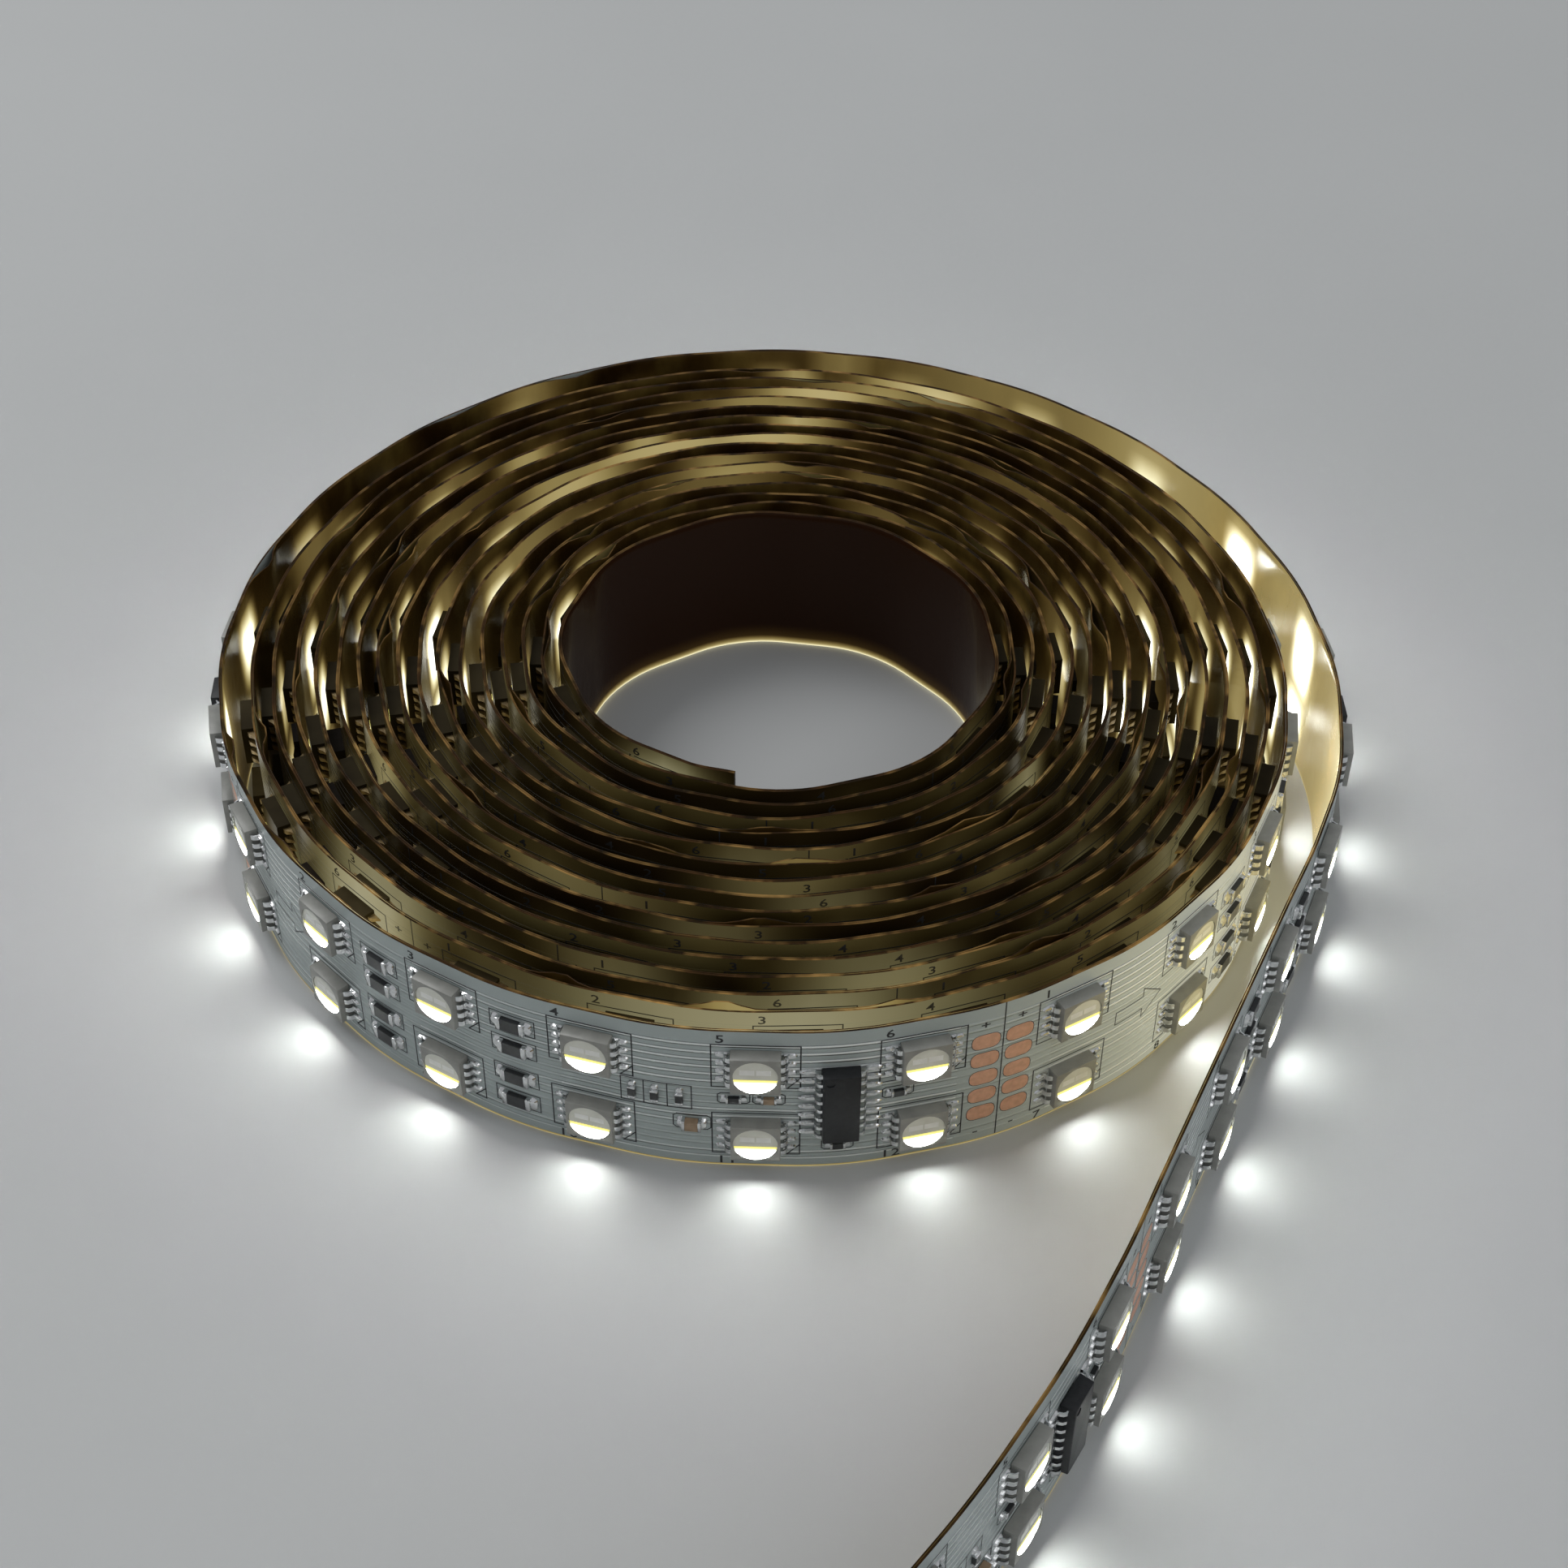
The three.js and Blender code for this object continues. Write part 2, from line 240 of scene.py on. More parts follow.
class Finish:
    """Short ways to add nodes to a material. A value is a number, a colour or another node's socket."""

    def __init__(self, material):
        material.use_nodes = True
        self.nodes = material.node_tree.nodes
        self.links = material.node_tree.links
        self.shader = self.nodes["Principled BSDF"].inputs

    def fill(self, sockets, values):
        for title, value in values.items():
            if isinstance(value, bpy.types.NodeSocket):
                self.links.new(value, sockets[title])
            else:
                sockets[title].default_value = value

    def set(self, values):
        self.fill(self.shader, values)

    def add(self, kind, values, output):
        node = self.nodes.new(f"ShaderNode{kind}")
        self.fill(node.inputs, values)
        return node.outputs[output]

    def math(self, operation, first, second=0.0):
        node = self.nodes.new("ShaderNodeMath")
        node.operation = operation
        self.fill(node.inputs, {0: first, 1: second})
        return node.outputs[0]

    def mix(self, share, first, second):
        return self.add("MixRGB", {"Fac": share, "Color1": first, "Color2": second}, "Color")

    def between(self, value, low, high, start=0.0, end=1.0, smooth=False):
        """Turns a value from low to high into one from start to end."""
        node = self.nodes.new("ShaderNodeMapRange")
        node.interpolation_type = "SMOOTHSTEP" if smooth else "LINEAR"
        ends = {"From Min": low, "From Max": high, "To Min": start, "To Max": end}
        self.fill(node.inputs, {"Value": value, **ends})
        return node.outputs["Result"]

    def ramp(self, value, stops, constant=False):
        """Turns a value into a tone, by stops at (position, colour or grey)."""
        node = self.nodes.new("ShaderNodeValToRGB")
        node.color_ramp.interpolation = "CONSTANT" if constant else "LINEAR"
        elements = node.color_ramp.elements
        elements.remove(elements[1])
        for i, (position, tone) in enumerate(stops):
            element = elements[0] if i == 0 else elements.new(position)
            element.position = position
            element.color = (*tone, 1) if isinstance(tone, tuple) else (tone, tone, tone, 1)
        self.links.new(value, node.inputs["Fac"])
        return node.outputs["Color"]

    def noise(self, place, scale, detail):
        return self.add("TexNoise", {"Vector": place, "Scale": scale, "Detail": detail}, "Fac")

    def bump(self, height, strength, distance):
        values = {"Height": height, "Strength": strength, "Distance": distance}
        self.set({"Normal": self.add("Bump", values, "Normal")})

    def object_place(self):
        return self.add("TexCoord", {}, "Object")

    def strip_place(self):
        """The piece's UV, then the segments along the strip and the share of its width up."""
        node = self.nodes.new("ShaderNodeUVMap")
        node.uv_map = "Strip"
        split = self.nodes.new("ShaderNodeSeparateXYZ")
        self.links.new(node.outputs["UV"], split.inputs["Vector"])
        return node.outputs["UV"], split.outputs["X"], split.outputs["Y"]

    def stretched(self, place, scale):
        node = self.nodes.new("ShaderNodeVectorMath")
        node.operation = "MULTIPLY"
        self.fill(node.inputs, {0: place, 1: scale})
        return node.outputs["Vector"]

    def corner_value(self, title):
        node = self.nodes.new("ShaderNodeAttribute")
        node.attribute_name = title
        return node.outputs["Fac"]


def finish_of(name, light, dark, roughness, scale, metallic=0.0, coat=0.0, bump=0.0, gloss=0.5):
    """A painted or moulded finish: two close tones in fine grain, with an even gloss."""
    material = bpy.data.materials.new(name)
    skin = Finish(material)
    grain = skin.noise(skin.object_place(), scale, 3)
    skin.set({"Base Color": skin.ramp(grain, [(0.35, dark), (0.65, light)]), "Roughness": roughness})
    skin.set({"Metallic": metallic, "Specular IOR Level": gloss})
    skin.set({"Coat Weight": coat, "Coat Roughness": 0.08})
    if bump:
        skin.bump(grain, bump, 0.0001)
    return material


def opposite(station):
    """Where a place on the coil faces the next turn out."""
    turns = np.interp(station, coil_length, coil_turns)
    return np.where(turns > 1, np.interp(turns - 1, coil_turns, coil_length), -100)


def glow(places, powers, station, height, spread, reach):
    """Painted light that LEDs at these places along the strip would throw on it, from both their rows."""
    order = np.argsort(places)
    places, powers = places[order], powers[order]
    total = 0 * station
    middle = np.searchsorted(places, station)
    for step in (-3, -2, -1, 0, 1, 2):
        i = np.clip(middle + step, 0, len(places) - 1)
        total += powers[i] * np.exp(-np.abs((station - places[i]) / spread) ** 1.6)
    upper = np.exp(-(((height - UPPER_LIGHT) / reach) ** 2))
    lower = 0.8 * np.exp(-(((height - LOWER_LIGHT) / reach) ** 2))
    return total * (upper + lower)


def stretches(station, height, places):
    """Painted light that fills the gap at these places, each (middle, half length, strength)."""
    total = 0 * station
    for middle, half, strength in places:
        total = np.maximum(total, strength * np.exp(-((np.abs(station - middle) / half) ** 2.5)))
    return total * np.clip((height - 4) / 9, 0, 1)


inner_start = coil_length[np.searchsorted(coil_turns, 1.0)]
column_stations = middle_of(np.arange(1, COLUMNS + 1))
inner_columns = column_stations[column_stations > inner_start + 5]
chance = np.random.default_rng(5)
drift_places = np.linspace(500, 4850, 80)
drift = np.interp(inner_columns, drift_places, chance.uniform(0, 1, len(drift_places)))
angle = 2 * np.pi * (np.interp(inner_columns, coil_length, coil_turns) - FRONT_TURN)
sideways = np.abs(np.sin(angle))
# How strongly each inner LED's painted light shows: random, and stronger at the coil's sides.
painted_light_power = 0.10 + 0.72 * drift**2 + 0.95 * sideways**4
painted_light_power = painted_light_power * chance.uniform(0.15, 1.3, len(inner_columns))
lit_gaps = [
    (float(np.interp(turns, coil_turns, coil_length)), half, strength)
    for turns, half, strength in LISTED_LIT_GAPS
]
for _ in range(MORE_LIT_GAPS):
    middle = chance.uniform(inner_start + 40, 4400)
    lit_gaps.append((middle, chance.uniform(3, 12), chance.uniform(0.08, 0.42)))

ring = [(0, 0.29), *((0, z) for z in (3, 6, 9, 12, 14, 16, 18)), (0, 19.96), (-0.03, 20)]
ring += [(-0.19, 20), (-0.22, 19.96), (-0.22, 0.29), (-0.19, 0.25), (-0.03, 0.25)]
CIRCUIT_EDGES = (8, 9, 10, 12, 13, 14)
circuit_shape, circuit_uv = ribbon(ring, line[:, 0])
station, height = circuit_uv.T * [[SEGMENT], [WIDTH]]
# lit_face: painted light on the circuit's faces, set per corner as the glow attribute.
lit_face = 0.45 * glow(inner_columns, painted_light_power, station, height, spread=5, reach=7)
lit_face = lit_face + stretches(station, height, lit_gaps)
lit_face *= np.clip((station - inner_start) / 8, 0, 1)
# Painted light from the tail on the outer mask beside it.
beside_tail = 0.78 * np.interp(station, BESIDE_TAIL, (0, 0.9, 1, 0))
beside_tail = beside_tail * (1 - 0.3 * height / WIDTH)
lit_face = np.maximum(lit_face, beside_tail)


def solder_mask():
    """White mask with raised lines where tracks run, their lighter tone partly painted highlight. Between the
    turns its colour is painted shade and amber light, with a painted golden glow.
    """
    material = bpy.data.materials.new("White solder mask")
    material.cycles.emission_sampling = "NONE"
    skin = Finish(material)
    place, along, up = skin.strip_place()
    wave = skin.math("SINE", skin.math("MULTIPLY", up, WIDTH / TRACK_PITCH * 2 * math.pi))
    track = skin.between(wave, 0.0, 0.8, smooth=True)
    span_stops = [
        (0, 0.3), (0.055, 1.0), (0.275, 0.8), (0.29, 0.3), (0.38, 0.8),
        (0.45, 0.5), (0.55, 1.0), (0.62, 0.8), (0.71, 1.0), (0.95, 0.2),
    ]
    spans = skin.ramp(skin.math("FRACT", along), span_stops, True)
    height_stops = [(0, 0.0), (0.06, 0.8), (0.12, 0.2), (0.31, 0.7), (0.45, 0.3), (0.60, 1.0), (0.91, 0.0)]
    heights = skin.ramp(up, height_stops, True)
    raised = skin.math("MULTIPLY", skin.math("MULTIPLY", spans, heights), track)
    skin.bump(raised, 1.0, 0.0008)
    # The grey between the tracks is painted shade; the lighter raised tracks are partly painted highlight.
    outer = skin.mix(raised, (0.39, 0.445, 0.44, 1), (0.88, 0.93, 0.92, 1))
    # Between the turns: painted shade and amber light, in patches from dark brown to olive.
    light_and_shade_patches = skin.noise(skin.stretched(place, (2.6, 0.6, 1)), 1.0, 2)
    shade_and_amber_light_tones = [(0.43, (0.018, 0.010, 0.003)), (0.52, (0.044, 0.030, 0.008)), (0.62, (0.155, 0.122, 0.042))]
    inner = skin.ramp(light_and_shade_patches, shade_and_amber_light_tones)
    inside = skin.between(along, inner_start / SEGMENT, inner_start / SEGMENT + 0.12)
    skin.set({"Base Color": skin.mix(inside, outer, inner), "Roughness": 0.32, "Specular IOR Level": 0.6})
    # Painted light: cream on the outer faces beside the tail, golden between the turns, from the per-corner
    # glow.
    light = skin.corner_value("glow")
    golden = skin.ramp(light, [(0, (0.72, 0.50, 0.13)), (0.35, (0.95, 0.85, 0.40)), (1, (1.0, 0.97, 0.70))])
    skin.set({"Emission Color": skin.mix(inside, (1.0, 0.98, 0.86, 1), golden)})
    skin.set({"Emission Strength": skin.math("MULTIPLY", skin.math("POWER", light, 1.6), 0.55)})
    return material


def polyimide_edge():
    """Brown cut edges, with painted golden glints: an emission in specks, stronger where the glow attribute
    is.
    """
    tones = (0.050, 0.022, 0.006), (0.008, 0.004, 0.001)
    material = finish_of("Cut polyimide edge", *tones, 0.3, 420, bump=0.5, gloss=0.08)
    material.cycles.emission_sampling = "NONE"
    skin = Finish(material)
    painted_glints = skin.ramp(skin.noise(skin.object_place(), 260, 3), [(0.48, 0.04), (0.66, 1.0)])
    caught = skin.math("ADD", skin.corner_value("glow"), 0.22)
    strength = skin.math("MULTIPLY", skin.math("MULTIPLY", painted_glints, caught), 0.42)
    skin.set({"Emission Color": (1.0, 0.60, 0.19, 1), "Emission Strength": strength})
    return material


mask = solder_mask()
# A shaded copy of the mask for the faces between the turns: its low specular level is painted shade that dims
# their reflections.
shaded_mask = mask.copy()
shaded_mask.name = "Solder mask between the turns"
shaded_mask.node_tree.nodes["Principled BSDF"].inputs["Specular IOR Level"].default_value = 0.08
cut_edge = polyimide_edge()
finishes = [mask, cut_edge, shaded_mask]
values = [("glow", lit_face)]
circuit = make("circuit_ribbon", circuit_shape, finishes, 20, circuit_uv, values)
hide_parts("flex_circuit")
side_number = np.arange(len(circuit.data.polygons))
side_station = line[np.minimum(side_number // len(ring), len(line) - 1), 0]
side_finish = np.where(side_station > inner_start, INNER_MASK, OUTER_MASK)
side_finish[np.isin(side_number % len(ring), CIRCUIT_EDGES)] = EDGES
circuit.data.polygons.foreach_set("material_index", side_finish)


# The adhesive tape on the circuit's back, with its amber release liner: a glossy translucent film.
# Between the LEDs of the next turn in, the liner has come loose in places and bulges. Its lower lip
# shows under the circuit as a golden line of painted light.
BULGED_SHARE = 0.24
OPEN_LINER_END = 900
LAST_TURN_START = LENGTH - 165
TAIL_LIGHT = ((0, 0.17), (95, 0.22), (130, 0.64), (165, 0.62), (190, 0.36), (235, 0.36), (300, 0))
facing = opposite(inner_columns)
random.seed(11)
bulges = [
    ((a + b) / 2 + random.uniform(-1.2, 1.2), random.uniform(0.5, 1.1), random.uniform(1.5, 2.6))
    for a, b in zip(facing, facing[1:])
    if random.random() < BULGED_SHARE
]


def loose(station, height):
    """How far the loose liner bulges out from the circuit's back."""
    depth = 0 * station
    for centre, reach, width in bulges:
        near = np.abs(station - centre) < 3 * width
        depth[near] += (
            reach
            * np.exp(-(((station[near] - centre) / width) ** 2))
            * np.clip((height[near] - 4) / 16, 0, 1) ** 1.5
        )
    return depth


lip = [(0, 0.03), (0, 0.21)]
outer_side = [(-0.25, z) for z in (0.24, 3, 6, 10, 13, 15.5, 17.5, 19, 19.97)]
inner_side = [(-0.40, z) for z in (19.97, 19, 17.5, 15.5, 13, 10, 6, 3, 1.1, 0.4, 0.03)]
ring = [*lip, *outer_side, (-0.28, 20), (-0.37, 20), *inner_side, (-0.37, 0), (-0.03, 0)]
LINER_EDGES = (10, 11, 12, 23, 24, 25)
liner_shape, liner_uv = ribbon(ring, line[:, 0], loose)
station, height = liner_uv.T * [[SEGMENT], [WIDTH]]
# Spots of painted light on the liner, over the LEDs that face it.
after = np.clip(np.searchsorted(facing, station), 1, len(facing) - 1)
nearest = after - (station - facing[after - 1] < facing[after] - station)
spot_distance = np.abs(station - facing[nearest])
spot_power = painted_light_power * np.where(inner_columns < OPEN_LINER_END, 1.2, 1.15)
spot_power = np.append(spot_power, 0)
nearest = np.where(station > LAST_TURN_START, len(spot_power) - 1, nearest)
liner_lit_gaps = [(float(opposite(middle)), half, strength) for middle, half, strength in lit_gaps]
# lit_film: painted light on the liner, set per corner as the glow attribute.
lit_film = 0.09 * glow(facing, painted_light_power, station, height, spread=9, reach=8)
lit_film = lit_film + stretches(station, height, liner_lit_gaps)
# Painted light on the tail's liner.
tail_light = np.interp(station, *zip(*TAIL_LIGHT))
lit_film = np.maximum(lit_film, tail_light * (0.9 + 0.1 * np.sin(station / 5)))
# Painted light along the liner's lower lip.
lit_lip = 0.52 * np.exp(-height / 0.35) * (station < inner_start + 20)
lit_film = np.maximum(lit_film, lit_lip)
# On the last turn, the painted light becomes a glowing line along the bottom of the hole's wall.
last_turn = np.clip((station - LAST_TURN_START) / 20, 0, 1)
lit_film = lit_film * (1 - last_turn) + 0.85 * last_turn * np.exp(-height / 0.45)


def release_liner():
    """Amber film, its base darkened as painted shade. Painted light glows in a spot over each LED that faces
    it, and where a gap is filled by light.
    """
    material = bpy.data.materials.new("Amber release liner")
    material.cycles.emission_sampling = "NONE"
    skin = Finish(material)
    place, along, up = skin.strip_place()
    cloud = skin.noise(skin.stretched(place, (14, 1.4, 1)), 1.0, 4)
    # The base tones, near black to olive brown in random clouds, are darkened as painted shade.
    tones = [(0.38, (0.016, 0.007, 0.001)), (0.51, (0.036, 0.019, 0.004)), (0.68, (0.095, 0.062, 0.015))]
    # The hole's wall, the last turn's inner face, is darker still: painted shade.
    painted_shade_of_hole_wall = skin.between(along, 44.3, 44.6)
    amber = skin.mix(painted_shade_of_hole_wall, skin.ramp(cloud, tones), (0.026, 0.010, 0.004, 1))
    skin.set({"Base Color": amber, "Roughness": 0.26, "Specular IOR Level": 0.08})
    skin.set({"Coat Weight": 0.04, "Coat Roughness": 0.06})
    skin.bump(cloud, 0.4, 0.0005)
    near_spot = skin.between(skin.corner_value("spot_distance"), 0.9, 4.4, 1.0, 0.0, smooth=True)
    height_stops = [
        (0.04, 0.1), (0.22, 0.7), (0.42, 0.12), (0.58, 0.7),
        (0.74, 1.0), (0.84, 0.55), (0.93, 0.09), (1.0, 0.03),
    ]
    spot = skin.math("MULTIPLY", near_spot, skin.corner_value("spot_power"))
    spot = skin.math("MULTIPLY", spot, skin.ramp(up, height_stops))
    light = skin.math("ADD", spot, skin.corner_value("glow"))
    golden = [
        (0, (0.70, 0.38, 0.07)), (0.3, (0.98, 0.76, 0.27)),
        (0.75, (1.0, 0.94, 0.60)), (1, (1.0, 0.99, 0.90)),
    ]
    strength = skin.math("MULTIPLY", skin.math("POWER", light, 1.6), 1.7)
    skin.set({"Emission Color": skin.ramp(light, golden), "Emission Strength": strength})
    return material


finishes = [release_liner(), cut_edge]
values = [("glow", lit_film), ("spot_distance", spot_distance), ("spot_power", spot_power[nearest])]
liner = make("liner_ribbon", liner_shape, finishes, smooth=50, uv=liner_uv, values=values)
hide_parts("adhesive_tape")
ring_side = np.arange(len(liner.data.polygons)) % len(ring)
liner.data.polygons.foreach_set("material_index", np.isin(ring_side, LINER_EDGES).astype(int))


# The LED packages: white moulded 5 mm squares with a round window, in two rows. Each is soldered
# on by eight legs. The reel is lit, so the lower part of each window shines.
OUTER_SEGMENTS = 6
EXPOSED = range(1, 6 * OUTER_SEGMENTS + 1)
INNER = range(6 * OUTER_SEGMENTS + 1, COLUMNS + 1)
OWN = [*range(1, 13), *range(25, 31)]
ROWS = {"upper": 15, "lower": 5}
LED_SIZE = 5
WINDOW_RADIUS = 2.25
ON_FACE = 0.05


def stand(shape, station, height):
    """A rigid shape, in millimetres along, outwards and up, stood on the strip's outer face."""
    corners, faces = shape
    x, y, a = (np.interp(station, line[:, 0], line[:, k]) for k in (1, 2, 3))
    u, out, up = corners.T
    placed = np.column_stack(
        (x + u * np.cos(a) + out * np.sin(a), y + u * np.sin(a) - out * np.cos(a), height + up)
    )
    return placed / MM, faces


def gather(shapes):
    """Several shapes as one."""
    corners, faces, count = [], [], 0
    for c, f in shapes:
        corners.append(c)
        faces += [[i + count for i in face] for face in f]
        count += len(c)
    return np.vstack(corners), faces


def at_columns(shape, columns):
    """The shape at these columns, in both rows."""
    return gather([stand(shape, middle_of(c), height) for c in columns for height in ROWS.values()])


def shape_of(obj):
    """The corners and faces of a modelled object, its modifiers applied. The object goes."""
    graph = bpy.context.evaluated_depsgraph_get()
    mesh = obj.evaluated_get(graph).to_mesh()
    turned = obj.matrix_world
    corners = np.array([turned @ v.co for v in mesh.vertices])
    faces = [list(p.vertices) for p in mesh.polygons]
    bpy.data.objects.remove(obj)
    return corners, faces


def box(length, thickness, height, middle, bevel, steps):
    """A box with softened edges, its middle this far out from the strip."""
    bpy.ops.mesh.primitive_cube_add(size=1, location=(0, middle, 0), scale=(length, thickness, height))
    piece = bpy.context.object
    bpy.ops.object.transform_apply(location=False, rotation=False, scale=True)
    edge = piece.modifiers.new("Edge", "BEVEL")
    edge.width = bevel
    edge.segments = steps
    return piece


def recessed(piece, place, radius, depth, corners):
    """The piece's shape with a round recess cut into its front."""
    bpy.ops.mesh.primitive_cylinder_add(
        vertices=corners, radius=radius, depth=depth, location=place, rotation=(math.pi / 2, 0, 0)
    )
    cutter = bpy.context.object
    recess = piece.modifiers.new("Recess", "BOOLEAN")
    recess.object = cutter
    recess.solver = "EXACT"
    shape = shape_of(piece)
    bpy.data.objects.remove(cutter)
    return shape


led_body = recessed(box(LED_SIZE, 1.45, LED_SIZE, LED_MIDDLE, 0.09, 2), (0, 1.5, 0), WINDOW_RADIUS, 0.4, 28)
square = ((-2.5, -2.5), (2.5, -2.5), (2.5, 2.5), (-2.5, 2.5))
plain_led = (
    np.array([[u, out, up] for out in (0, 1.5) for u, up in square]),
    [[0, 1, 2, 3], [4, 7, 6, 5], [0, 4, 5, 1], [1, 5, 6, 2], [2, 6, 7, 3], [3, 7, 4, 0]],
)
# The white plastic is given a grey tone, darkened as painted shade.
package_white = finish_of("LED package plastic", (0.31, 0.31, 0.285), (0.26, 0.26, 0.24), 0.38, 700, coat=0.1)
# The packages of the inner turns get a dark amber copy of the white plastic: painted shade and amber light.
tones = (0.050, 0.039, 0.018), (0.026, 0.019, 0.008)
shaded_package = finish_of("LED package in amber light", *tones, 0.45, 150, gloss=0.06)
for row, height in ROWS.items():
    for column in OWN:
        shape = stand(led_body, middle_of(column), height)
        package = make(f"package_{row}_{column}", shape, package_white)
        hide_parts(f"led_{row}_{column}")
others = [c for c in EXPOSED if c not in OWN]
make("packages_of_outer_turn", at_columns(led_body, others), package_white)
make("packages_of_inner_turns", at_columns(plain_led, INNER), shaded_package, smooth=0)


# The windows: clear resin fills each round opening, over pale islands of the lead frame, and
# yellow phosphor fills its lower part. The phosphor shines white, with a yellow upper edge.
FILL_RADIUS = 2.22
PHOSPHOR_TOP = -0.5
OUTER_POWER = 112
INNER_POWER = 7


def prism(outline, back, front):
    """A flat block between two distances out, with an outline of points along and up."""
    count = len(outline)
    corners = [[u, out, up] for out in (back, front) for u, up in outline]
    sides = [[i, (i + 1) % count, (i + 1) % count + count, i + count] for i in range(count)]
    return np.array(corners), [list(range(count)), list(range(count, 2 * count))[::-1], *sides]


def arc(radius, start, end, steps):
    angles = np.radians(np.linspace(start, end, steps))
    return [(radius * math.cos(a), radius * math.sin(a)) for a in angles]


def island(left, right):
    return prism([(left, 0.25), (right, 0.25), (right, 0.95), (left, 0.95)], 1.34, 1.375)


clear = prism(arc(FILL_RADIUS, -10.5, 190.5, 23), 1.28, 1.36)
islands = gather([island(-1.55, -0.08), island(0.08, 1.55)])
resin = finish_of("Clear window resin", (0.80, 0.80, 0.72), (0.70, 0.70, 0.62), 0.12, 500, coat=0.6)
pale_metal = finish_of("Lead frame island", (0.92, 0.92, 0.88), (0.84, 0.84, 0.80), 0.25, 900)
make("window_resin", at_columns(clear, EXPOSED), resin)
make("window_islands", at_columns(islands, EXPOSED), pale_metal)


def phosphor(name, strength):
    """Shining phosphor. The piece's UV gives the depth under its straight upper edge, in mm."""
    material = bpy.data.materials.new(name)
    skin = Finish(material)
    _, depth, _ = skin.strip_place()
    tone = skin.ramp(depth, [(0.05, (0.80, 0.76, 0.20)), (0.60, (0.96, 1.0, 0.97))])
    power = skin.between(depth, 0.25, 1.3, 0.9, strength, smooth=True)
    skin.set({"Base Color": (0.9, 0.75, 0.2, 1), "Emission Color": tone, "Emission Strength": power})
    return material


lit = prism(arc(FILL_RADIUS, 193, 347, 15), 1.28, 1.38)
lit_plain = prism(arc(FILL_RADIUS, 193, 347, 6), 1.45, 1.53)
for name, shape, group, strength in (
    ("phosphor_of_outer_turn", lit, EXPOSED, OUTER_POWER),
    ("phosphor_of_inner_turns", lit_plain, INNER, INNER_POWER),
):
    depths = np.tile(PHOSPHOR_TOP - shape[0][:, 2], len(group) * len(ROWS))
    depth_map = np.column_stack((depths, depths))
    make(name, at_columns(shape, group), phosphor(name, strength), uv=depth_map)


# The LED legs: tinned strips that leave the package's sides, bend down to the board and end in
# bright pointed solder. Four stand on each side of a package.
LEG_HEIGHTS = (-1.8, -0.6, 0.6, 1.8)


def bent_strip(line_points, thickness, width):
    """A strip of even thickness along points (along, out), the given width up the strip."""
    points = np.array(line_points, float)
    step = np.gradient(points, axis=0)
    normal = np.column_stack((-step[:, 1], step[:, 0])) / np.linalg.norm(step, axis=1)[:, None]
    loop = np.vstack((points, (points + normal * thickness)[::-1]))
    count = len(loop)
    corners = [[u, out, up] for up in (-width / 2, width / 2) for u, out in loop]
    half = len(points)
    caps = [[i, i + 1, count - 2 - i, count - 1 - i] for i in range(half - 1)]
    far = [[count + i for i in face][::-1] for face in caps]
    sides = [[i, (i + 1) % count, (i + 1) % count + count, i + count] for i in range(count)]
    return np.array(corners), [*caps, *far, *sides]


def solder_drop(length, width, height):
    """A drop of solder: a long rounded bead, highest near its root."""
    half = [(0, 0.42), (0.25, 0.5), (0.7, 0.46), (0.93, 0.3)]
    outline = [*half, (1, 0), *((u, -w) for u, w in half[::-1])]
    count = len(outline)
    corners = [[u * length, 0, w * width] for u, w in outline]
    corners += [
        [(0.05 + 0.87 * u) * length, height * (0.85 - 0.25 * u), 0.72 * w * width] for u, w in outline
    ]
    corners += [
        [(0.12 + 0.68 * u) * length, height * (1 - 0.3 * u), 0.25 * w * width] for u, w in outline
    ]
    faces = [list(range(count)), list(range(2 * count, 3 * count))[::-1]]
    for base in (0, count):
        for i in range(count):
            after = (i + 1) % count
            faces.append([base + i, base + after, base + count + after, base + count + i])
    return np.array(corners), faces


def mirrored(shape):
    return shape[0] * [-1, 1, 1], [face[::-1] for face in shape[1]]


def moved(shape, u=0.0, out=0.0, up=0.0):
    return shape[0] + [u, out, up], shape[1]


def both_sides(shapes):
    return gather([*shapes, *(mirrored(shape) for shape in shapes)])


leg_line = [(2.45, 0.86), (2.72, 0.84), (2.92, 0.70), (3.02, 0.46), (3.10, 0.20), (3.30, 0.09)]
leg = bent_strip(leg_line, 0.13, 0.62)
drop = moved(solder_drop(1.35, 0.66, 0.34), 2.72)
legs = both_sides([moved(shape, up=up) for up in LEG_HEIGHTS for shape in (leg, drop)])
foot = [[2.5, 0.05, -0.3], [3.55, 0.05, -0.12], [3.55, 0.05, 0.12], [2.5, 0.05, 0.3]]
slope = [[2.5, 0.85, -0.27], [2.9, 0.7, -0.27], [3.2, 0.3, -0.2]]
slope += [[u, out, -up] for u, out, up in slope[::-1]]
stub = (
    np.array(foot + slope),
    [[0, 1, 2, 3], [4, 9, 8, 5], [5, 8, 7, 6], [6, 7, 2, 1], [0, 4, 5, 6, 1], [3, 2, 7, 8, 9], [0, 3, 9, 4]],
)
stubs = both_sides([moved(stub, up=up) for up in LEG_HEIGHTS])
# The inner turns' solder in a dim brass tone: painted shade and amber light.
solder_in_painted_amber_light = finish_of("Solder in amber light", (0.34, 0.25, 0.12), (0.15, 0.10, 0.04), 0.42, 1200, metallic=0.5)
tones = (0.86, 0.87, 0.88), (0.66, 0.67, 0.68)
tin = finish_of("Bright solder", *tones, 0.16, 2500, metallic=1.0, bump=0.25)
make("led_legs", at_columns(legs, EXPOSED), tin, smooth=50)
make("led_legs_of_inner_turns", at_columns(stubs, INNER), solder_in_painted_amber_light, smooth=50)


